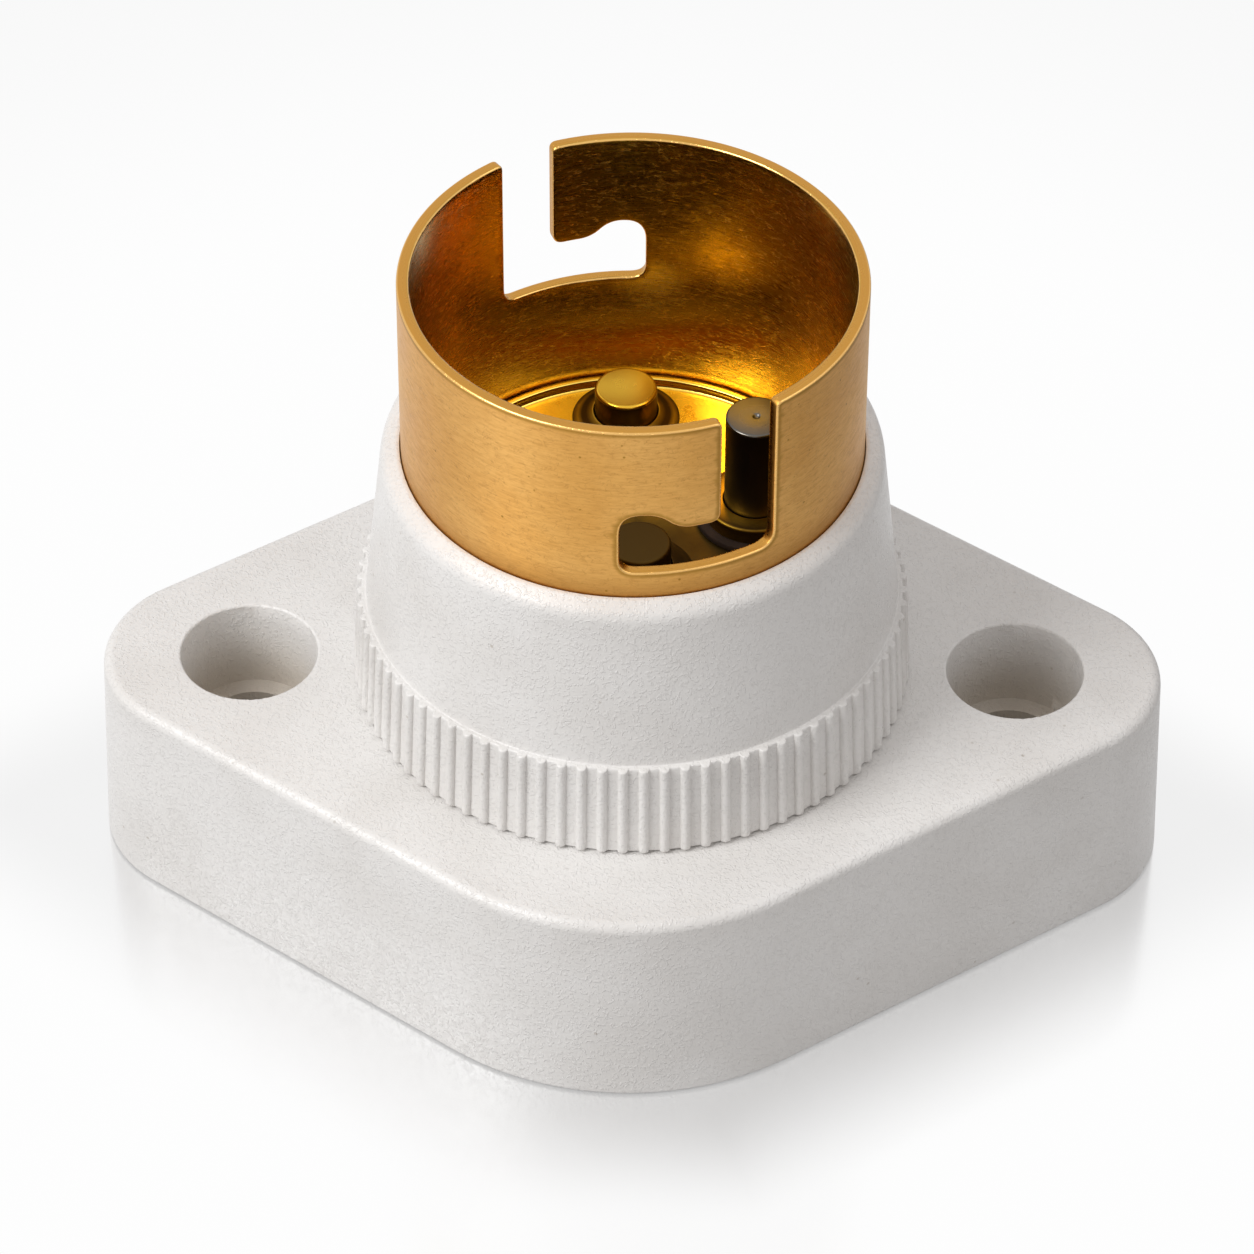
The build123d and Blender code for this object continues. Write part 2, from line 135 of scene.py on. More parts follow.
class Recipe:
    """The node tree of one finish, with one method that adds any node to it."""

    def __init__(self, tree):
        self.tree = tree
        tree.nodes.clear()

    def feed(self, node, sockets):
        """Links each wire to its socket and sets each number or colour on it."""
        for key, value in sockets.items():
            socket = node.inputs[key]
            if isinstance(value, Wire):
                self.tree.links.new(value.socket, socket)
            elif socket.type == "RGBA" and len(value) == 3:
                socket.default_value = (*value, 1.0)
            else:
                socket.default_value = value

    def node(self, kind, settings=None, sockets=None, output=0):
        """Adds a node of this kind: its settings first, then its sockets, by name or number."""
        node = self.tree.nodes.new(kind)
        for key, value in (settings or {}).items():
            setattr(node, key, value)
        self.feed(node, sockets or {})
        return Wire(self, node.outputs[output])

    def place(self):
        """The point on the piece in millimetres."""
        point = self.node("ShaderNodeTexCoord", output="Object")
        return self.node("ShaderNodeVectorMath", {"operation": "SCALE"},
                         {0: point, "Scale": 1 / MM})

    def parts(self, vector):
        """The three parts of a vector, each as a wire of its own."""
        split = self.node("ShaderNodeSeparateXYZ", None, {0: vector}).socket.node
        return [Wire(self, split.outputs[axis]) for axis in "XYZ"]

    def direct_rays(self):
        """1 for rays that look, mirror or pass through, 0 for rays that light; then mirrors alone.
        Only the surround and the floor use it."""
        seen = self.node("ShaderNodeLightPath", output="Is Camera Ray")
        path = seen.socket.node
        mirrored = Wire(self, path.outputs["Is Glossy Ray"])
        return seen + mirrored + Wire(self, path.outputs["Is Transmission Ray"]), mirrored

    def stretch(self, vector, along):
        """The vector with each part multiplied by a number of its own."""
        return self.node("ShaderNodeVectorMath", {"operation": "MULTIPLY"}, {0: vector, 1: along})

    def absolute(self, wire):
        """The wire's value without its sign."""
        return wire.maths("ABSOLUTE", wire)

    def distance(self, first, second):
        """Length of the two parts together: the root of a squared plus b squared."""
        return (first * first + second * second) ** 0.5

    def noise(self, vector, scale, detail=2.0, roughness=0.5, distortion=0.0):
        """Smooth random values from 0 to 1, scale of them to a millimetre."""
        return self.node("ShaderNodeTexNoise", None, {
            "Vector": vector, "Scale": scale, "Detail": detail, "Roughness": roughness,
            "Distortion": distortion})

    def cells(self, vector, scale):
        """Distance to the nearest of many scattered points."""
        return self.node("ShaderNodeTexVoronoi", {"feature": "F1"},
                         {"Vector": vector, "Scale": scale})

    def strokes(self, vector, scale, width, gaps, core=0.3):
        """Short thin lines: the middle contour of a noise, |n - 0.5| < width, cut by another."""
        curve = self.noise(vector, scale, 2.0, 0.55, 0.7) - 0.5
        line = self.between(self.absolute(curve), width, width * core)
        return line * self.between(self.noise(vector, scale * 1.9, 1.0), gaps, gaps + 0.07)

    def between(self, value, low, high, start=0.0, end=1.0):
        """0 below low, 1 above high, and a smooth step between; start and end give other ends."""
        return self.node("ShaderNodeMapRange", {"interpolation_type": "SMOOTHSTEP"}, {
            "Value": value, "From Min": low, "From Max": high, "To Min": start, "To Max": end})

    def mix(self, share, first, second):
        """A colour that goes from the first to the second as share goes from 0 to 1."""
        return self.node("ShaderNodeMix", {"data_type": "RGBA"}, {0: share, 6: first, 7: second},
                         output=2)

    def bump(self, height, depth):
        """Normals of a relief: height from 0 to 1, times a depth in millimetres."""
        return self.node("ShaderNodeBump", None, {
            "Height": height, "Strength": 1.0, "Distance": depth * MM}, output="Normal")

    def shader(self, **sockets):
        """The Principled shader that ends the tree; underscores in names stand for spaces."""
        node = self.tree.nodes.new("ShaderNodeBsdfPrincipled")
        self.feed(node, {key.replace("_", " "): value for key, value in sockets.items()})
        output = self.tree.nodes.new("ShaderNodeOutputMaterial")
        self.tree.links.new(node.outputs[0], output.inputs["Surface"])


def material(name):
    """A new material and the recipe that fills its node tree."""
    made = bpy.data.materials.new(name)
    made.use_nodes = True
    return made, Recipe(made.node_tree)


# %% [markdown]
# ## The white moulding
# Base and collar are pressed from a white thermoset. Its skin isn't smooth: short soft strokes
# lie over a fine leathery grain, and tiny specks show in the body. A real bump map could give
# that, but noise in the piece's own space needs no unwrapping and has no seams. Two noises make
# the grain, one of them bent by its own distortion, and scattered points make the specks and
# small beads. A brown painted shade lies in the two counterbores, darker the deeper they go.


# %% White moulding
WHITE = (0.80, 0.785, 0.765)
WHITE_SHADE = (0.745, 0.725, 0.70)
SPECK = (0.42, 0.37, 0.31)
# Brown painted shade for the counterbores, then where it lies and how deep it grows.
HOLE_SHADE_COLOUR = (0.42, 0.32, 0.19)
HOLE_OFFSET, HOLE_SHADE_EDGE, HOLE_SHADE_TOP, HOLE_SHADE_DEEP = 20.45, 3.95, 11.5, 7.0


def moulded_white():
    """Base and collar: two close whites, specks, a leathery relief and painted shade in the holes.
    """
    made, r = material("moulded_white")
    place = r.place()
    leather = r.noise(place, 3.2, 3.0, 0.6, 0.9)
    grain = r.noise(place, 8.5, 2.0, 0.6)
    cloud = r.noise(place, 0.16, 2.0, 0.5)
    strokes = r.strokes(place, 2.6, 0.13, 0.50, 0.0)
    speck = 1 - r.between(r.cells(place, 0.62), 0.035, 0.075)
    bead = 1 - r.between(r.cells(place, 2.1), 0.05, 0.15)
    tone = r.mix(r.between(cloud, 0.35, 0.7), WHITE, WHITE_SHADE)
    tone = r.mix(r.between(leather, 0.35, 0.7) * 0.35, tone, WHITE_SHADE)
    colour = r.mix(speck * r.between(cloud, 0.4, 0.6) * 0.6, tone, SPECK)
    across, deep, height = r.parts(place)
    # Painted shade: brown in the counterbores, darker the deeper they go.
    from_hole = r.distance(r.absolute(across) - HOLE_OFFSET, deep)
    hole_shade = r.between(from_hole, HOLE_SHADE_EDGE, HOLE_SHADE_EDGE - 0.25)
    hole_shade = hole_shade * r.between(height, HOLE_SHADE_TOP, HOLE_SHADE_DEEP)
    colour = r.mix(hole_shade * 0.42, colour, HOLE_SHADE_COLOUR)
    relief = leather * 0.7 + grain * 0.3 + strokes * 0.6 + bead * 0.3
    r.shader(Base_Color=colour, Roughness=0.27 + r.between(leather, 0.3, 0.7) * 0.12,
             Normal=r.bump(relief, 0.030), IOR=1.5)
    return made


# %% [markdown]
# ## Brass
# The sleeve is drawn from sheet brass. Outside it has been brushed round, which leaves fine level
# hairlines, and handling adds pits, short scratches and curls. Painted shade darkens the outside
# towards the collar. Inside, painted shade makes it a darker amber, darker still on the left wall;
# it turns to gold towards the floor as a painted reflection, and a small bright patch at the back
# is a painted highlight. Hairlines come from noise squeezed hard in height, so that it changes
# fast up the wall and slowly round it. A vertex attribute says where the edges are: above 0 on
# the rounded cut edges, bright from wear and a painted highlight, and below 0 on a painted dark
# reflection line beside them.


# %% Brass of the sleeve
BRASS = (0.69, 0.36, 0.092)
BRASS_PALE = (0.80, 0.48, 0.16)
BRASS_DULL = (0.40, 0.19, 0.04)
# Colour of a painted reflection inside.
GOLD_REFLECTION = (0.93, 0.60, 0.09)
BRASS_AMBER = (0.60, 0.35, 0.035)
BRASS_DARK = (0.28, 0.14, 0.010)
CUT_EDGE = (0.56, 0.28, 0.055)
# Colour of a painted highlight.
HIGHLIGHT_COLOUR = (0.98, 0.70, 0.17)
WALL_MIDDLE, CUT_INSIDE, CUT_OUTSIDE = 11.7, 11.45, 11.935
# Place and size of a painted highlight on the back wall.
HIGHLIGHT_ACROSS, HIGHLIGHT_HEIGHT, HIGHLIGHT_EDGE, HIGHLIGHT_CORE = 0.7, 28.6, 2.4, 0.3
# Heights where a painted gold reflection starts and is full.
GOLD_REFLECTION_FROM, GOLD_REFLECTION_FULL = 30.0, 23.5


def sleeve_brass():
    """Brushed brass outside and amber inside, told apart by the distance from the axis."""
    made, r = material("sleeve_brass")
    place = r.place()
    across, deep, height = r.parts(place)
    radius = r.distance(across, deep)
    outside = r.between(radius, WALL_MIDDLE - 0.1, WALL_MIDDLE + 0.1)
    cut = r.between(radius, CUT_INSIDE - 0.02, CUT_INSIDE + 0.03)
    cut = cut * r.between(radius, CUT_OUTSIDE + 0.025, CUT_OUTSIDE - 0.025)
    # Edges: above 0 wear and a painted highlight, below 0 a painted dark reflection line.
    edge_wear_and_light = r.node("ShaderNodeAttribute", {"attribute_name": "edge_wear_and_light"}, output="Fac")
    rubbed_and_highlight, dark_reflection_line = r.between(edge_wear_and_light, 0.1, 0.9), r.between(edge_wear_and_light, -0.05, -0.6)

    hairs = r.noise(r.stretch(place, (1.1, 1.1, 7.5)), 1.0, 4.0, 0.7)
    fine_hairs = r.noise(r.stretch(place, (1.6, 1.6, 14.0)), 1.1, 2.0, 0.6)
    cloud = r.noise(place, 0.20, 3.0, 0.55)
    mottle = r.noise(place, 1.3, 3.0, 0.6)
    pits = 1 - r.between(r.cells(place, 1.1), 0.05, 0.10)
    dashes = r.between(r.noise(r.stretch(place, (1.1, 1.1, 7.0)), 1.5, 1.0, 0.5, 0.6), 0.61, 0.67)
    scratch = r.strokes(r.stretch(place, (0.8, 0.8, 1.6)), 1.2, 0.022, 0.48)
    curls = r.strokes(place, 1.9, 0.030, 0.50)

    skin = r.mix(r.between(cloud, 0.3, 0.7) * 0.5, BRASS, BRASS_PALE)
    skin = r.mix(r.between(hairs, 0.35, 0.7) * 0.26, skin, BRASS_DULL)
    skin = r.mix(dashes * 0.20 + scratch * 0.28 + curls * 0.20, skin, BRASS_DULL)
    # Painted shade: the outside darkens towards the collar.
    skin = r.mix(r.between(height, COLLAR_TOP + 2.0, COLLAR_TOP - 0.3) * 0.55, skin, BRASS_DULL)
    # Painted shade: the inside is a darker amber than the outside.
    inner = r.mix(r.between(cloud + mottle * 0.3, 0.42, 0.80), BRASS_AMBER, BRASS_DARK)
    # Painted shade on the inner left wall.
    inner = r.mix(r.between(across, -5.0, -10.0) * 0.55, inner, BRASS_DARK)
    # Painted reflection: gold towards the floor.
    inner = r.mix(r.between(height, GOLD_REFLECTION_FROM, GOLD_REFLECTION_FULL) * 0.75, inner, GOLD_REFLECTION)
    # Painted highlight: a bright patch on the back wall.
    from_highlight = r.distance(across - HIGHLIGHT_ACROSS, height - HIGHLIGHT_HEIGHT)
    painted_highlight = r.between(from_highlight, HIGHLIGHT_EDGE, HIGHLIGHT_CORE) * r.between(deep, 5.0, 8.0)
    inner = r.mix(painted_highlight * 0.95, inner, HIGHLIGHT_COLOUR)
    inner = r.mix(dashes * 0.30 + scratch * 0.6 + curls * 0.25, inner, BRASS_PALE)
    colour = r.mix(outside, inner, skin)
    colour = r.mix(pits * r.between(mottle, 0.42, 0.58) * 0.75, colour, BRASS_DARK)
    colour = r.mix(cut, colour, CUT_EDGE)
    # Bright edges: wear and a painted highlight.
    colour = r.mix(rubbed_and_highlight * 0.9, colour, BRASS_PALE)
    # Painted reflection: a dark line beside the edges.
    colour = r.mix(dark_reflection_line * 0.6, colour, BRASS_DARK)
    relief = hairs * 0.5 + fine_hairs * 0.4 + mottle * 0.2
    relief = relief - pits * 0.5 - scratch * 0.4 - curls * 0.3
    rough = 0.34 + r.between(hairs, 0.3, 0.7) * 0.10 + r.between(cloud, 0.3, 0.7) * 0.06
    rough = rough - (1 - outside) * 0.16 - rubbed_and_highlight * 0.16
    r.shader(Base_Color=colour, Metallic=1.0, Roughness=rough, Normal=r.bump(relief, 0.010))
    return made


# %% [markdown]
# ## The other metals
# The floor pan is brighter brass with rings left by the turning tool. Posts and plungers have
# darkened with age and heat. Their edges are bright from wear and a painted highlight, and their
# tops are lighter as a painted reflection. Painted shade darkens the front of the socket's floor
# and every metal part that lies in front of the axis. One recipe with a few numbers serves all of
# them, because only the colours and the amount of tarnish differ.


# %% Turned and tarnished metals
# Colour of the painted shade at the front, and heights above which tops carry a painted reflection.
FRONT_SHADE_COLOUR = (0.055, 0.030, 0.010)
POST_SHEEN_ABOVE, PLUNGER_SHEEN_ABOVE = 26.0, 28.95


def turned_metal(name, bright, dull, tarnish, rough, rings=3.0, top=None, shade_from=-1.0,
                 shade_reach=1.6):
    """Metal from bright to dull in clouds; tarnish is the dull share, rings the tool marks per mm,
    top the height above which it is lighter as a painted reflection, shade_from the depth where
    painted shade starts and shade_reach the length over which it grows full."""
    made, r = material(name)
    place = r.place()
    edge_wear_and_light = r.node("ShaderNodeAttribute", {"attribute_name": "edge_wear_and_light"}, output="Fac")
    cloud = r.noise(place, 0.7, 3.0, 0.6, 0.5)
    grit = r.noise(place, 6.0, 3.0, 0.65)
    marks = r.noise(r.stretch(place, (1.2, 1.2, rings * 3)), 1.4, 2.0, 0.6)
    pits = 1 - r.between(r.cells(place, 2.6), 0.08, 0.18)
    share = r.between(cloud + grit * 0.35, 1.0 - tarnish, 1.35 - tarnish)
    deep, height = r.parts(place)[1:]
    # Painted reflection: the top is lighter than the sides.
    if top:
        share = share * (1 - r.between(height, top - 0.12, top) * 0.75)
    colour = r.mix(share, bright, dull)
    # Bright edges: wear and a painted highlight.
    colour = r.mix(edge_wear_and_light * 0.85, colour, bright)
    # Painted shade: the metal darkens towards the socket's front.
    front_shade = r.between(deep + (cloud - 0.5) * (shade_reach * 0.5), shade_from, shade_from - shade_reach)
    colour = r.mix(front_shade * 0.95, colour, FRONT_SHADE_COLOUR)
    relief = grit * 0.45 + marks * 0.5 - pits * 0.4
    roughness = rough + share * 0.14 - edge_wear_and_light * 0.08 + front_shade * 0.25
    r.shader(Base_Color=colour, Metallic=1.0, Roughness=roughness, Normal=r.bump(relief, 0.004))
    return made


# %% [markdown]
# ## The inner mouldings and wire
# The carrier and the bushes are dark thermoset, the slip ring is pressed fibre. They show only
# through the slots or from behind, and still get grain and flow marks of their own.


# %% Dull finishes
def dull_moulding(name, colour, flecks, grain_scale, rough):
    """A matt body colour with flecks of a second colour and a fine grain."""
    made, r = material(name)
    place = r.place()
    grain = r.noise(place, grain_scale, 3.0, 0.6, 0.6)
    flow = r.noise(r.stretch(place, (0.5, 0.5, 1.6)), 1.0, 2.0, 0.5, 1.0)
    tone = r.mix(r.between(flow, 0.35, 0.7) * 0.6, colour, flecks)
    tone = r.mix(r.between(grain, 0.6, 0.72) * 0.5, tone, flecks)
    r.shader(Base_Color=tone, Roughness=rough + grain * 0.15, Normal=r.bump(grain, 0.012))
    return made


FINISHES = {
    "moulded_white": moulded_white(),
    "sleeve_brass": sleeve_brass(),
    "floor_brass": turned_metal(
        "floor_brass", (0.95, 0.64, 0.11), (0.82, 0.44, 0.035), 0.35, 0.20, 2.0,
        shade_from=5.0, shade_reach=6.5),
    "dark_brass": turned_metal(
        "dark_brass", (0.90, 0.53, 0.05), (0.08, 0.04, 0.008), 0.85, 0.24, top=POST_SHEEN_ABOVE),
    "contact_metal": turned_metal(
        "contact_metal", (0.145, 0.135, 0.12), (0.032, 0.016, 0.006), 0.95, 0.27,
        top=PLUNGER_SHEEN_ABOVE),
    "terminal_brass": turned_metal(
        "terminal_brass", (0.78, 0.58, 0.28), (0.50, 0.33, 0.13), 0.45, 0.30),
    "spring_steel": turned_metal(
        "spring_steel", (0.60, 0.60, 0.61), (0.35, 0.34, 0.33), 0.4, 0.30),
    "dark_moulding": dull_moulding(
        "dark_moulding", (0.035, 0.020, 0.014), (0.07, 0.04, 0.025), 6.0, 0.8),
    "fibre": dull_moulding("fibre", (0.30, 0.10, 0.06), (0.44, 0.18, 0.10), 9.0, 0.7),
}
print("finishes:", ", ".join(FINISHES))

# %% [markdown]
# ## From arrays to pieces
# A surface is a grid of points, one row for each step round and one column for each step along
# its profile. The faces of a grid are always the same four neighbours, so they come from an
# index array. Doubled points at poles are merged, and the shell's faces are turned outwards.


# %% Making a piece
def grid_faces(rows, columns, closed=True):
    """Four-sided faces of a grid whose rows go round, and whose profile may be closed too."""
    i, j = np.indices((rows, columns - (not closed))).reshape(2, -1)
    i2, j2 = (i + 1) % rows, (j + 1) % columns
    return np.stack([i * columns + j, i2 * columns + j, i2 * columns + j2, i * columns + j2], 1)


def put_piece(name, points, faces, slot, body, nodes, edge_wear_and_light=None, sharp=40.0):
    """A mesh from points in millimetres, finished, smoothed and standing for its CAD nodes."""
    mesh = bpy.data.meshes.new(name)
    metres = np.asarray(points).reshape(-1, 3) * MM
    mesh.from_pydata(metres.tolist(), [], [face.tolist() for face in faces])
    if edge_wear_and_light is not None:
        attribute = mesh.attributes.new("edge_wear_and_light", "FLOAT", "POINT")
        attribute.data.foreach_set("value", np.asarray(edge_wear_and_light, np.float32).ravel())
    tidy = bmesh.new()
    tidy.from_mesh(mesh)
    bmesh.ops.remove_doubles(tidy, verts=tidy.verts, dist=2e-6)
    bmesh.ops.recalc_face_normals(tidy, faces=tidy.faces)
    tidy.to_mesh(mesh)
    tidy.free()
    return dress(bpy.data.objects.new(name, mesh), slot, body, nodes, sharp)


def dress(piece, slot, body, nodes, sharp):
    """Links a piece, gives it its finish and even shading, and ties it to its body."""
    bpy.context.scene.collection.objects.link(piece)
    piece.data.materials.clear()
    piece.data.materials.append(FINISHES[slot])
    piece.data.shade_smooth()
    piece.data.set_sharp_from_angle(angle=np.radians(sharp))
    even = piece.modifiers.new("even shading", "WEIGHTED_NORMAL")
    even.mode, even.weight, even.keep_sharp = "FACE_AREA", 50, True
    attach(piece, body)
    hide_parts(*nodes)
    print(piece.name, len(piece.data.polygons), "faces")
    return piece


# %% [markdown]
# ## Profiles with soft corners
# Nothing turned or moulded has a true knife edge, and light shows it: a tiny round on each
# corner catches a line of shine. A profile is written as its corners, each with the length that
# its round takes on either side, and the round is a curve pulled towards the corner.


# %% Soft corners
def soft_corners(corners, closed=True, steps=4):
    """Each corner (a, b, before, after) becomes (1-t)^2 start + 2t(1-t) corner + t^2 end."""
    corners = np.array([(*c, c[2]) if len(c) == 3 else c for c in corners], float)
    point, before, after = corners[:, :2], corners[:, 2:3], corners[:, 3:4]
    back = np.roll(point, 1, 0) - point
    ahead = np.roll(point, -1, 0) - point
    if not closed:
        back[0], ahead[-1] = (1, 0), (1, 0)
    start = point + back / np.linalg.norm(back, axis=1, keepdims=True) * before
    end = point + ahead / np.linalg.norm(ahead, axis=1, keepdims=True) * after
    t = np.linspace(0, 1, steps + 1)[None, :, None]
    curve = (1 - t) ** 2 * start[:, None] + 2 * t * (1 - t) * point[:, None] + t ** 2 * end[:, None]
    path = curve.reshape(-1, 2)
    keep = np.r_[True, np.linalg.norm(np.diff(path, axis=0), axis=1) > 1e-6]
    return path[keep]


def turned(profile, centre, steps):
    """A profile of (radius, height) carried round an upright axis: x = r cos a, y = r sin a."""
    angle = np.linspace(0, 2 * np.pi, steps, endpoint=False)[:, None]
    radius, height = profile[None, :, 0], profile[None, :, 1]
    return np.stack([centre[0] + radius * np.cos(angle), centre[1] + radius * np.sin(angle),
                     np.broadcast_to(height, (steps, profile.shape[0]))], -1)


def turned_piece(name, corners, slot, body, nodes, centre=(0.0, 0.0), steps=96, wear=0.12,
                 curve=4):
    """A turned piece whose soft corners carry wear and a painted highlight, fading over the length
    wear.
    """
    profile = soft_corners(corners, steps=curve)
    grid = turned(profile, centre, steps)
    rounds = np.array([(c[0], c[1]) for c in corners if 0 < c[2] < 0.6])
    gap = np.linalg.norm(profile[:, None] - rounds[None], axis=2).min(1)
    edge_wear_and_light = np.clip(1.2 - gap / wear, 0, 1)
    return put_piece(name, grid, grid_faces(steps, len(profile)), slot, body, nodes,
                     np.broadcast_to(edge_wear_and_light, (steps, len(profile))))


# %% [markdown]
# ## The sleeve
# The real one starts as a flat cut strip: rolled up, it is a tube with two J-shaped slots. The
# mesh is made the same way. The strip's outline is drawn flat, in length round the wall and
# height, with a soft curve at each corner. The strip is filled with triangles, wrapped to the
# outer and the inner radius, and a rounded edge is carried along the outline between the two.

# %% Outline of the strip
SLEEVE_OUTER, SLEEVE_INNER = 12.0, 11.35
UNROLL = (SLEEVE_OUTER + SLEEVE_INNER) / 2
SLOT_ENTRIES = (120.7, 300.7)
SEAM_ANGLE = 20.0
ENTRY_WIDTH, SEAT_WIDTH = 3.0, 2.66
SEAT_OFFSET = np.radians(25.7) * UNROLL
CHANNEL_TOP, CHANNEL_BOTTOM, SEAT_TOP = 6.45, 9.25, 5.45
HEAD_TURN, NECK_TURN = 0.6, 1.62
EDGE_ROUND = 0.13
OUTLINE_STEP, OUTLINE_GAP = 0.35, 0.12
WALL_FOOT = SLEEVE_FOOT + 1.6
SPAN = 2 * np.pi * UNROLL


def slot_corners(entry_angle):
    """A slot's corners from right to left: down the entry, along, round the seat and back up."""
    entry = np.radians(entry_angle) * UNROLL
    seat = entry - SEAT_OFFSET
    right, left = entry + ENTRY_WIDTH / 2, entry - ENTRY_WIDTH / 2
    return [
        (right, 0, 0.4), (right, CHANNEL_BOTTOM, 0.85),
        (seat - SEAT_WIDTH / 2, CHANNEL_BOTTOM, 0.85), (seat - SEAT_WIDTH / 2, SEAT_TOP, 1.3, 1.15),
        (seat + HEAD_TURN, SEAT_TOP, 0.7, 0.7), (seat + NECK_TURN, CHANNEL_TOP, 0.7, 0.7),
        (left, CHANNEL_TOP, 0.6), (left, 0, 0.4),
    ]


seam = np.radians(SEAM_ANGLE) * UNROLL
corners = [(seam + SPAN, 0, 0.0)]
for entry_angle in reversed(SLOT_ENTRIES):
    corners += slot_corners(entry_angle)
corners += [(seam, 0, 0.0)]
outline = soft_corners(corners, closed=False, steps=8)
stations = np.r_[0, np.cumsum(np.linalg.norm(np.diff(outline, axis=0), axis=1))]
even = np.arange(OUTLINE_STEP, stations[-1], OUTLINE_STEP)
even = even[np.abs(even[:, None] - stations[None]).min(1) > OUTLINE_GAP]
finer = np.sort(np.r_[stations, even])
outline = np.stack([np.interp(finer, stations, outline[:, k]) for k in (0, 1)], 1)
outline[:, 1] = SLEEVE_RIM - outline[:, 1]
print("outline of the strip:", len(outline), "points over", round(float(stations[-1]), 1), "mm")

# %% [markdown]
# The inward direction at each outline point is the path's direction turned by a quarter. The
# strip is filled between that shifted outline, the two sides of the seam and the foot. A
# constrained triangulation keeps every outline edge and uses a field of inner points, so that
# the wrapped wall is round and not faceted.

# %% Filling and wrapping the strip
ahead = np.roll(outline[:-1], -1, 0) - np.roll(outline[:-1], 1, 0)
ahead[0] = outline[1] - outline[0] + (outline[-1] - outline[-2])
ahead[-1] = outline[-1] - outline[-3]
inward = np.stack([-ahead[:, 1], ahead[:, 0]], 1)
inward /= np.linalg.norm(inward, axis=1, keepdims=True)
inward = np.r_[inward, inward[:1]]
inset = outline + inward * EDGE_ROUND

FOOT_STEPS, SEAM_STEPS = 192, 30
FIELD_PITCH = 0.62
foot_u = seam + np.arange(FOOT_STEPS + 1) / FOOT_STEPS * SPAN
foot_row = np.stack([foot_u, np.full(FOOT_STEPS + 1, WALL_FOOT)], 1)
seam_z = np.linspace(WALL_FOOT, inset[-1, 1], SEAM_STEPS)[1:-1]
seam_left = np.stack([np.full(SEAM_STEPS - 2, seam), seam_z], 1)
loop = np.r_[inset, seam_left[::-1], foot_row, seam_left + (SPAN, 0)]


def inside_loop(points, polygon):
    """A point is inside when a level ray from it crosses the polygon an odd number of times."""
    a, b = polygon, np.roll(polygon, -1, 0)
    x, y = points[:, :1], points[:, 1:]
    level = (a[None, :, 1] > y) != (b[None, :, 1] > y)
    rise = np.where(b[:, 1] == a[:, 1], 1.0, b[:, 1] - a[:, 1])
    cross = a[None, :, 0] + (y - a[None, :, 1]) * (b - a)[None, :, 0] / rise[None]
    return (level & (x < cross)).sum(1) % 2 == 1


column, row = np.meshgrid(np.arange(seam + 0.5, seam + SPAN - 0.3, FIELD_PITCH),
                          np.arange(WALL_FOOT + 0.45, SLEEVE_RIM - 0.3, FIELD_PITCH))
column, row = column.ravel(), row.ravel()
stagger = (np.round(row / FIELD_PITCH) % 2) * (FIELD_PITCH / 2)
field = np.r_[np.stack([column + stagger, row], 1), outline[::2] + inward[::2] * 0.42]
field = field[inside_loop(field, loop)]
nearest = np.linalg.norm(field[:, None] - loop[None], axis=2).min(1)
field = field[nearest > 0.2]
flat_points = np.r_[loop, field]
border = np.arange(len(loop))
edges = np.stack([border, np.roll(border, -1)], 1).tolist()
filled = delaunay_2d_cdt(flat_points.tolist(), edges, [border.tolist()], 1, 1e-5)
flat = np.array([tuple(p) for p in filled[0]])
triangles = np.array(filled[2])
triangles = triangles[inside_loop(flat[triangles].mean(1), loop)]
print("strip filled with", len(triangles), "triangles")


def wrapped(points, radius):
    """Rolls the flat strip up: the angle is length over the unrolled radius."""
    angle = points[..., 0] / UNROLL
    return np.stack([radius * np.cos(angle), radius * np.sin(angle), points[..., 1]], -1)


# %% [markdown]
# The rim's rounded edge is a half-round profile carried along the outline. The foot turns out
# into a narrow flange under the collar, which a profile carried round gives. All parts share
# their border points, so merging doubles leaves one closed shell. The edge attribute is 1 on the
# rounded corners, bright from wear and a painted highlight, 0 along the middle of the cut edge,
# and below 0 on the walls just beside it, a painted dark reflection line.

# %% Sleeve
quarter = np.linspace(0, np.pi / 2, 5)
edge_in = np.r_[EDGE_ROUND * (1 - np.sin(quarter)), EDGE_ROUND * (1 - np.cos(quarter))]
edge_in[4], edge_in[5] = 0, 0
edge_radius = np.r_[SLEEVE_OUTER - EDGE_ROUND * (1 - np.cos(quarter)),
                    SLEEVE_INNER + EDGE_ROUND * (1 - np.sin(quarter))]
strip = outline[:-1, None] + inward[:-1, None] * edge_in[None, :, None]
edge_grid = wrapped(strip, edge_radius[None])
edge_faces = grid_faces(len(outline) - 1, len(edge_in), closed=False)

FOOT_RADIUS, FOOT_WALL = 12.55, 0.65
# Value and width of a painted dark reflection line beside the edges.
DARK_LINE_MARK, DARK_LINE_WIDTH = -0.7, 0.2
foot_profile = soft_corners([
    (SLEEVE_OUTER, WALL_FOOT, 0), (SLEEVE_OUTER, SLEEVE_FOOT + FOOT_WALL, 0.2),
    (FOOT_RADIUS, SLEEVE_FOOT + FOOT_WALL, 0.1), (FOOT_RADIUS, SLEEVE_FOOT, 0.1),
    (SLEEVE_INNER, SLEEVE_FOOT, 0.5), (SLEEVE_INNER, WALL_FOOT, 0)], closed=False)
foot_angle = (foot_u[:-1] / UNROLL)[:, None]
foot_out, foot_z = foot_profile[None, :, 0], foot_profile[:, 1]
foot_grid = np.stack([foot_out * np.cos(foot_angle), foot_out * np.sin(foot_angle),
                      np.broadcast_to(foot_z, (FOOT_STEPS, len(foot_profile)))], -1)
foot_faces = grid_faces(FOOT_STEPS, len(foot_profile), closed=False)

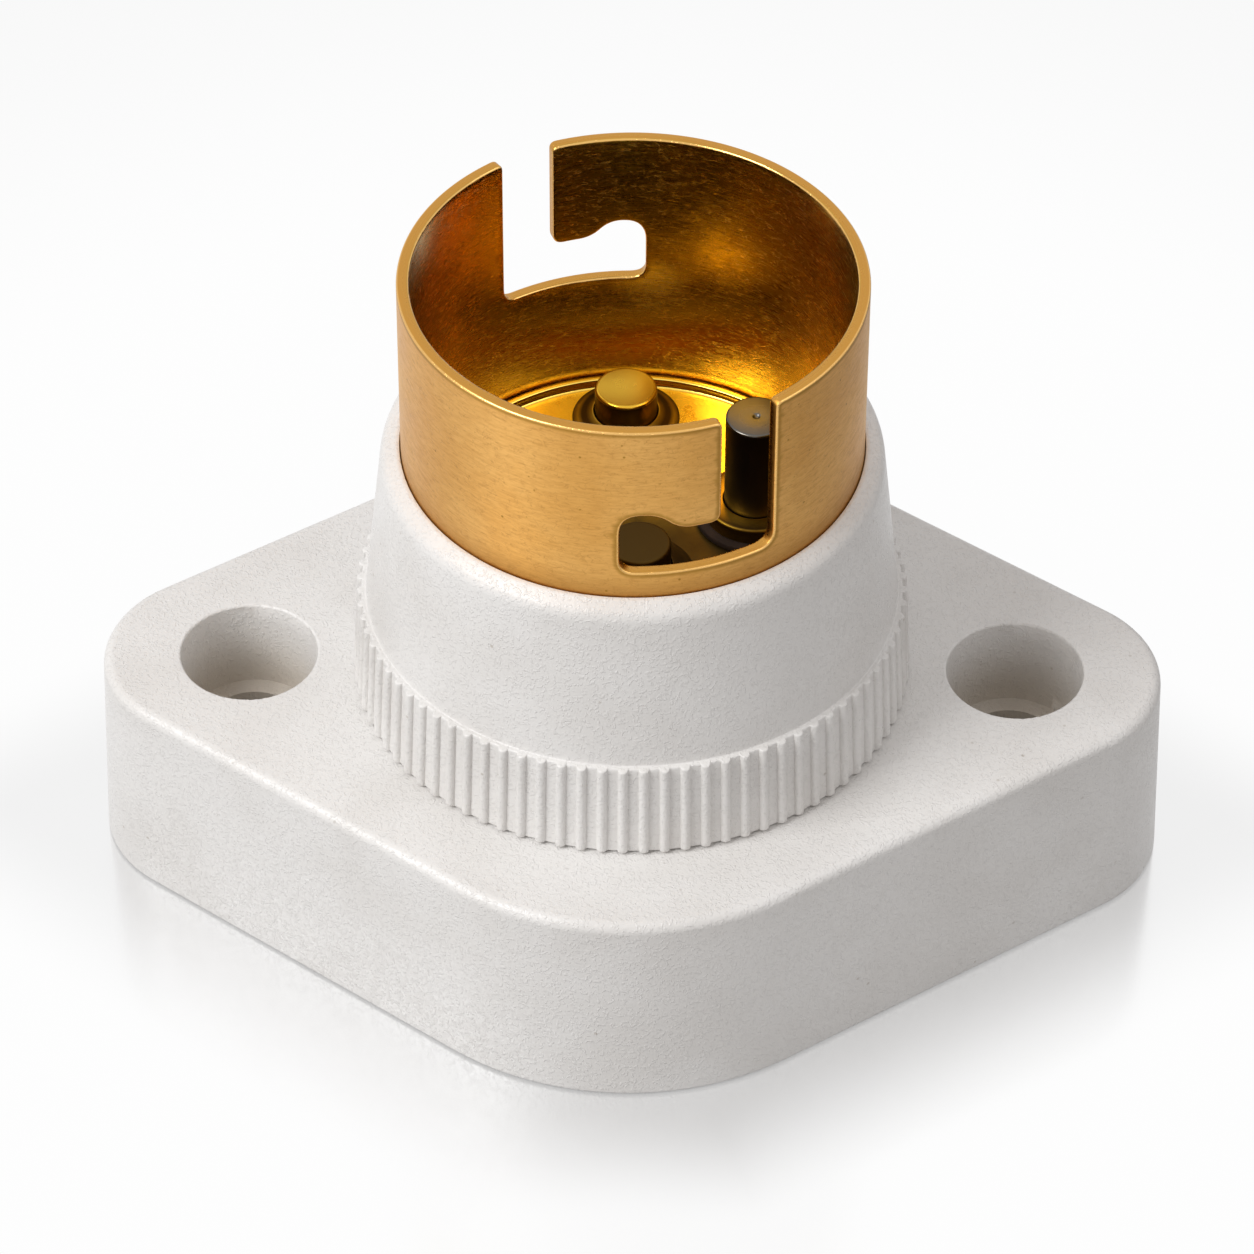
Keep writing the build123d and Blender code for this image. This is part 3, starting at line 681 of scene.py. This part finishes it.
walls = [wrapped(flat, SLEEVE_OUTER), wrapped(flat, SLEEVE_INNER), edge_grid.reshape(-1, 3),
         foot_grid.reshape(-1, 3)]
starts = np.cumsum([0] + [len(wall) for wall in walls])
faces = list(triangles) + list(triangles[:, ::-1] + starts[1]) + list(edge_faces + starts[2])
faces += list(foot_faces + starts[3])
to_edge = np.concatenate([np.linalg.norm(part[:, None] - outline[None], axis=2).min(1)
                          for part in np.array_split(flat, 16)])
# Painted reflection: a dark line on the walls beside the cut edge.
dark_reflection_line = DARK_LINE_MARK * np.clip(1 - (to_edge - EDGE_ROUND) / DARK_LINE_WIDTH, 0, 1)
corner = np.array([DARK_LINE_MARK, 0.9, 1.0, 0.5, 0.0])
edge_wear_and_light = np.r_[dark_reflection_line, dark_reflection_line, np.tile(np.r_[corner, corner[::-1]], len(edge_grid)),
             np.zeros(len(walls[3]))]
put_piece("bayonet_sleeve", np.concatenate(walls), faces, "sleeve_brass", "holder", ["sleeve"],
          edge_wear_and_light, 50)

# %% [markdown]
# ## The collar
# A hand turns the collar by 84 upright ribs. Each is a half round in section, and they end in a
# narrow ledge at the cone's foot, where the mould's two halves met. The whole collar is one
# grid: a closed profile carried round, where the band's part is pushed out by the ribs. A
# bump map would look flat at the outline, and separate ribs would need joining.

# %% Collar
RIBS = 84
RIB_WIDTH, RIB_HEIGHT = 0.54, 0.26
RIB_TOP_ROUND, RIB_FOOT_ROUND = 0.14, 0.16
PROFILE_STEP, PROFILE_GAP = 0.45, 0.15
GRIP_FOOT_RADIUS, GRIP_TOP_RADIUS, CONE_FOOT = 14.55, 14.28, 14.03
GRIP_TOP = COLLAR_FOOT + 5.6
COLLAR_BORE, COLLAR_CAVITY, COLLAR_SHOULDER = 12.05, 12.76, 20.35
CONE_TOP, LAND_DROP, LAND_OUT = 13.04, 0.55, 12.25


def rib_end(length, reach):
    """How far a rib has risen at a length from its end: a quarter circle over the reach."""
    return np.sqrt(np.clip(1 - np.clip(1 - length / reach, 0, 1) ** 2, 0, 1))


collar_profile = soft_corners([
    (COLLAR_CAVITY, COLLAR_FOOT, 0.12), (GRIP_FOOT_RADIUS, COLLAR_FOOT, 0.12),
    (GRIP_TOP_RADIUS, GRIP_TOP, 0.16, 0.12), (CONE_FOOT, GRIP_TOP, 0.1),
    (CONE_TOP, COLLAR_TOP - LAND_DROP, 0.5), (LAND_OUT, COLLAR_TOP, 0.1),
    (COLLAR_BORE, COLLAR_TOP, 0.06), (COLLAR_BORE, COLLAR_SHOULDER, 0.1),
    (COLLAR_CAVITY, COLLAR_SHOULDER, 0.1)], steps=6)
lengths = np.linalg.norm(np.diff(np.r_[collar_profile, collar_profile[:1]], axis=0), axis=1)
along = np.r_[0, np.cumsum(lengths)]
extra = np.arange(0.3, along[-1], PROFILE_STEP)
extra = extra[np.abs(extra[:, None] - along[None]).min(1) > PROFILE_GAP]
where = np.unique(np.r_[along[:-1], extra])
looped = np.r_[collar_profile, collar_profile[:1]]
collar_profile = np.stack([np.interp(where, along, looped[:, k]) for k in (0, 1)], 1)

across_rib = np.sin(np.linspace(-np.pi / 2, np.pi / 2, 11)) * RIB_WIDTH / 2
cell = np.sort(np.r_[across_rib, -0.33, 0.33, 0.45])
pitch_length = 2 * np.pi * GRIP_FOOT_RADIUS / RIBS
angles = ((np.arange(RIBS)[:, None] * pitch_length + cell[None]) / GRIP_FOOT_RADIUS).ravel()
half_round = np.sqrt(np.clip(1 - (cell / (RIB_WIDTH / 2)) ** 2, 0, 1))
ribs = np.tile(half_round, RIBS)[:, None]
z, on_band = collar_profile[None, :, 1], (collar_profile[:, 0] > CONE_FOOT + 0.09)[None]
head = rib_end(GRIP_TOP - z, RIB_TOP_ROUND)
start = rib_end(z - COLLAR_FOOT, RIB_FOOT_ROUND)
push = on_band * RIB_HEIGHT * ribs * np.clip(head + 0.35, 0, 1) * start
radius = collar_profile[None, :, 0] + push
collar_grid = np.stack([radius * np.cos(angles)[:, None], radius * np.sin(angles)[:, None],
                        np.broadcast_to(z, radius.shape)], -1)
put_piece("ribbed_collar", collar_grid, grid_faces(*radius.shape), "moulded_white", "collar_body",
          ["collar"], sharp=60)

# %% [markdown]
# ## The floor of the socket
# At the bottom of the sleeve lies a shallow brass pan with a raised edge. Two plungers in
# flanged barrels carry the current to the lamp, kept off the pan by dark bushes. Two posts in
# spacers hold the pan down. All of them are turned parts, so a profile each is enough.

# %% Floor pan
PAN_OUTER, PAN_WALL, PAN_THICKNESS = 11.25, 0.45, 0.6
PAN_FLOOR = PAN_UNDER + PAN_THICKNESS
turned_piece("socket_floor", [
    (0, PAN_UNDER, 0), (PAN_OUTER, PAN_UNDER, 0.2), (PAN_OUTER, PAN_RIM, 0.2),
    (PAN_OUTER - PAN_WALL, PAN_RIM, 0.2), (PAN_OUTER - PAN_WALL, PAN_FLOOR, 0.28),
    (0, PAN_FLOOR, 0)],
    "floor_brass", "holder", ["floor_pan"], steps=192, wear=0.25, curve=6)

# %% Plungers, barrels and bushes
INSIDE_TURN, CONTACT_CIRCLE, POST_CIRCLE = 5.0, 6.4, 6.1
PIN_RADIUS, PIN_LENGTH = 1.6, 6.8
BARREL_RADIUS, FLANGE_RADIUS, FLANGE_DEPTH = 2.22, 2.65, 0.9
BUSH_RADIUS, BUSH_LIP = 3.1, 0.35
POST_RADIUS, SPACER_RADIUS = 1.65, 2.62


def around(circle, degrees):
    """A place on a circle about the holder's axis."""
    angle = np.radians(INSIDE_TURN + degrees)
    return circle * np.cos(angle), circle * np.sin(angle)


for end, turn in (("right", 0), ("left", 180)):
    centre = around(CONTACT_CIRCLE, turn)
    low, top = heights("plunger_" + end)
    lip = top - PIN_LENGTH
    turned_piece("contact_plunger_" + end, [
        (0, low, 0), (0.8, low, 0.1), (0.8, lip - 1.0, 0.05), (1.85, lip - 1.0, 0.1),
        (1.85, lip, 0.1), (PIN_RADIUS, lip, 0.05), (PIN_RADIUS, top, 0.14),
        (0.2, top, 0.05), (0.1, top - 0.09, 0.04), (0, top - 0.1, 0)],
        "contact_metal", "plunger_" + end + "_body", ["plunger_" + end], centre)
    low, top = heights("barrel_" + end)
    turned_piece("contact_barrel_" + end, [
        (1.9, low, 0.05), (BARREL_RADIUS, low, 0.05), (BARREL_RADIUS, top - FLANGE_DEPTH, 0.05),
        (FLANGE_RADIUS, top - FLANGE_DEPTH, 0.08), (FLANGE_RADIUS, top, 0.16), (1.65, top, 0.06),
        (1.65, top - 1.2, 0.05), (1.9, top - 1.2, 0.05)],
        "dark_brass", "holder", ["barrel_" + end], centre)
    low, top = heights("insulating_bush_" + end)
    turned_piece("contact_bush_" + end, [
        (2.27, low, 0.04), (2.62, low, 0.05), (2.62, top - BUSH_LIP, 0.05),
        (BUSH_RADIUS, top - BUSH_LIP, 0.05), (BUSH_RADIUS, top, 0.1), (2.27, top, 0.05)],
        "dark_moulding", "holder", ["insulating_bush_" + end], centre)

# %% Posts and spacers
for end, turn in (("rear", 90), ("front", -90)):
    centre = around(POST_CIRCLE, turn)
    low, top = heights("fixing_post_" + end)
    turned_piece("post_" + end, [
        (0, low, 0), (1.2, low, 0.1), (1.2, PAN_FLOOR, 0.05), (POST_RADIUS, PAN_FLOOR, 0.05),
        (POST_RADIUS, top, 0.2), (0, top - 0.03, 0)],
        "dark_brass", "holder", ["fixing_post_" + end], centre, wear=0.14)
    low, top = heights("post_spacer_" + end)
    turned_piece("spacer_" + end, [
        (1.72, low, 0.05), (SPACER_RADIUS, low, 0.06), (SPACER_RADIUS, top - 0.45, 0.16),
        (2.2, top - 0.26, 0.7, 0.1), (1.72, top, 0.1)],
        "dark_brass", "holder", ["post_spacer_" + end], centre)

# %% [markdown]
# ## The base and the hidden pieces
# The base has no simple formula: it is a lozenge with counterbores, bosses and a hollow back.
# The imported solid already has those shapes, so a copy of its triangles is merged and shaded
# smoothly up to a limiting angle. Weighting the normals by area keeps the flat faces flat. The
# springs under the plungers are copies too.

# %% Merged copies
FOOT_ROUND, FOOT_REACH = 0.25, 15.0


def soften_foot(shell, reach, length):
    """Rounds the edges at the foot whose wall faces outwards, more than reach from the axis."""
    rim = []
    for edge in shell.edges:
        middle = (edge.verts[0].co + edge.verts[1].co) / 2
        walls = [face.normal for face in edge.link_faces if abs(face.normal.z) < 0.5]
        if middle.z < 0.01 * MM and any(wall.dot(middle) > reach * MM for wall in walls):
            rim.append(edge)
    bmesh.ops.bevel(shell, geom=rim, offset=length * MM, segments=3, profile=0.5, affect="EDGES")
    print("foot edges rounded:", len(rim))


def merged_copy(name, node, slot, body, foot=0.0):
    """A CAD node's triangles merged into one shell; foot is the round of its lowest edge."""
    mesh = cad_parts[node].data.copy()
    mesh.name = name
    tidy = bmesh.new()
    tidy.from_mesh(mesh)
    bmesh.ops.remove_doubles(tidy, verts=tidy.verts, dist=1e-7)
    bmesh.ops.dissolve_limit(tidy, angle_limit=np.radians(0.4), verts=tidy.verts, edges=tidy.edges)
    if foot:
        soften_foot(tidy, FOOT_REACH, foot)
    tidy.to_mesh(mesh)
    tidy.free()
    return dress(bpy.data.objects.new(name, mesh), slot, body, [node], sharp=30.0)


merged_copy("moulded_base", "base", "moulded_white", "holder", foot=FOOT_ROUND)
merged_copy("contact_carrier", "carrier", "dark_moulding", "holder")
merged_copy("collar_slip_ring", "slip_ring", "fibre", "slip_ring_body")
for end in ("right", "left"):
    merged_copy("wire_terminal_" + end, "terminal_" + end, "terminal_brass", "holder")
    merged_copy("clamp_screw_" + end, "terminal_screw_" + end, "terminal_brass",
                "terminal_screw_" + end + "_body")
    spring = merged_copy("pressure_coil_" + end, "contact_spring_" + end, "spring_steel", "holder")
    low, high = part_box("contact_spring_" + end)
    "plunger_" + end + "_press"
    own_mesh(spring)
for end in ("rear", "front"):
    merged_copy("nut_" + end, "post_nut_" + end, "terminal_brass", "holder")

# %% [markdown]
# ## Floor and light
# The holder was photographed on white acrylic: a pale sheet that shows a soft mirror image of
# the base close to it. A large soft lamp stands to the left, a weak one to the right, and a
# bright surround fills the shade. Rays that look straight at the surround see plain white, and
# so do mirror rays, while it lights matt surfaces less, so that the far side stays grey.

# %% Surround
SHADE_LEVEL = 0.49
SHADE_TINT = (1.0, 0.965, 0.955)
world = bpy.data.worlds.new("studio")
bpy.context.scene.world = world
world.use_nodes = True
w = Recipe(world.node_tree)
direct = w.direct_rays()[0]
level = w.between(direct, 0.0, 1.0, SHADE_LEVEL, 1.0)
shade = w.mix(w.between(direct, 0.0, 1.0), SHADE_TINT, (1.0, 1.0, 1.0))
background = w.node("ShaderNodeBackground", None, {"Color": shade, "Strength": level})
ending = w.tree.nodes.new("ShaderNodeOutputWorld")
w.tree.links.new(background.socket, ending.inputs["Surface"])
print("the surround lights matt surfaces at", SHADE_LEVEL, "of what it shows")

# %% [markdown]
# The floor is a matt grey sheet to the rays that light the holder. To the rays that see it, it
# is a polished sheet mixed with a plain white glow, and the glow takes over a centimetre away
# from the base. That length is measured from the base's outline, whose long sides slant and
# whose front and back are rounded: the larger of two distances, one to each kind of side.

# %% Floor
FLOOR_REACH = 1.6
SLANT_ALONG, SLANT_DEEP, SLANT_OUT = 0.579, 0.815, 19.38
BASE_HALF_DEPTH, MIRROR_REACH = 20.35, 9.0
MIRROR_SHARE, GLOW_AT_BASE, GLOW_FAR = 0.75, 0.35, 0.92
floor_mesh = bpy.data.meshes.new("floor")
floor_mesh.from_pydata([(x * FLOOR_REACH, y * FLOOR_REACH, 0.0) for x, y in
                        ((-1, -1), (1, -1), (1, 1), (-1, 1))], [], [(0, 1, 2, 3)])
floor = bpy.data.objects.new("floor", floor_mesh)
bpy.context.scene.collection.objects.link(floor)
floor_material, f = material("floor")
f_place = f.place()
distance = f.node("ShaderNodeVectorMath", {"operation": "LENGTH"}, {0: f_place}, output="Value")
direct, mirrored = f.direct_rays()
looking = f.between(direct, 0.0, 1.0)
tone = f.mix(looking, (0.43, 0.43, 0.43), (0.30, 0.30, 0.302))
sheet = f.node("ShaderNodeBsdfDiffuse", None, {"Color": tone})
gloss = f.node("ShaderNodeBsdfGlossy", None, {"Color": (1.0, 1.0, 1.0), "Roughness": 0.15})
f_across, f_deep = f.parts(f_place)[:2]
side, end = f.absolute(f_deep), f.absolute(f_across)
slant = end * SLANT_ALONG + side * SLANT_DEEP - SLANT_OUT
clear = slant.maths("MAXIMUM", slant, side - BASE_HALF_DEPTH)
glow_level = 1 - f.between(distance, 50.0, 90.0) * 0.05
glow_level = glow_level - mirrored * f.between(f_across, 15.0, 50.0) * 0.55
glow = f.node("ShaderNodeEmission", None, {"Color": (1.0, 1.0, 1.0), "Strength": glow_level})
polished = f.node("ShaderNodeMixShader", None, {0: looking * MIRROR_SHARE, 1: sheet, 2: gloss})
glow_share = GLOW_FAR - f.between(clear, MIRROR_REACH, 0.0) * (GLOW_FAR - GLOW_AT_BASE)
lit = f.node("ShaderNodeMixShader", None, {0: looking * glow_share, 1: polished, 2: glow})
f_end = f.tree.nodes.new("ShaderNodeOutputMaterial")
f.tree.links.new(lit.socket, f_end.inputs["Surface"])
floor_mesh.materials.append(floor_material)
print("the floor reaches", FLOOR_REACH, "m each way")

# %% Lamps
def soft_lamp(name, azimuth, elevation, distance, size, power, colour=(1.0, 1.0, 1.0)):
    """A square lamp that faces the holder; azimuth 0 is the camera's side and -90 is the left."""
    a, e = np.radians(azimuth), np.radians(elevation)
    lamp = bpy.data.objects.new(name, bpy.data.lights.new(name, "AREA"))
    lamp.data.shape, lamp.data.size = "SQUARE", size
    lamp.data.energy, lamp.data.color = power, colour
    bpy.context.scene.collection.objects.link(lamp)
    lamp.location = np.array((np.sin(a) * np.cos(e), -np.cos(a) * np.cos(e), np.sin(e))) * distance
    lamp.rotation_euler = (-lamp.location).to_track_quat("-Z", "Y").to_euler()
    print(name, "lamp:", power, "W from", azimuth, "degrees")


soft_lamp("key", -60, 44, 0.9, 0.44, 5.65, (0.99, 0.995, 1.0))
soft_lamp("fill", 75, 50, 0.9, 0.50, 0.8)
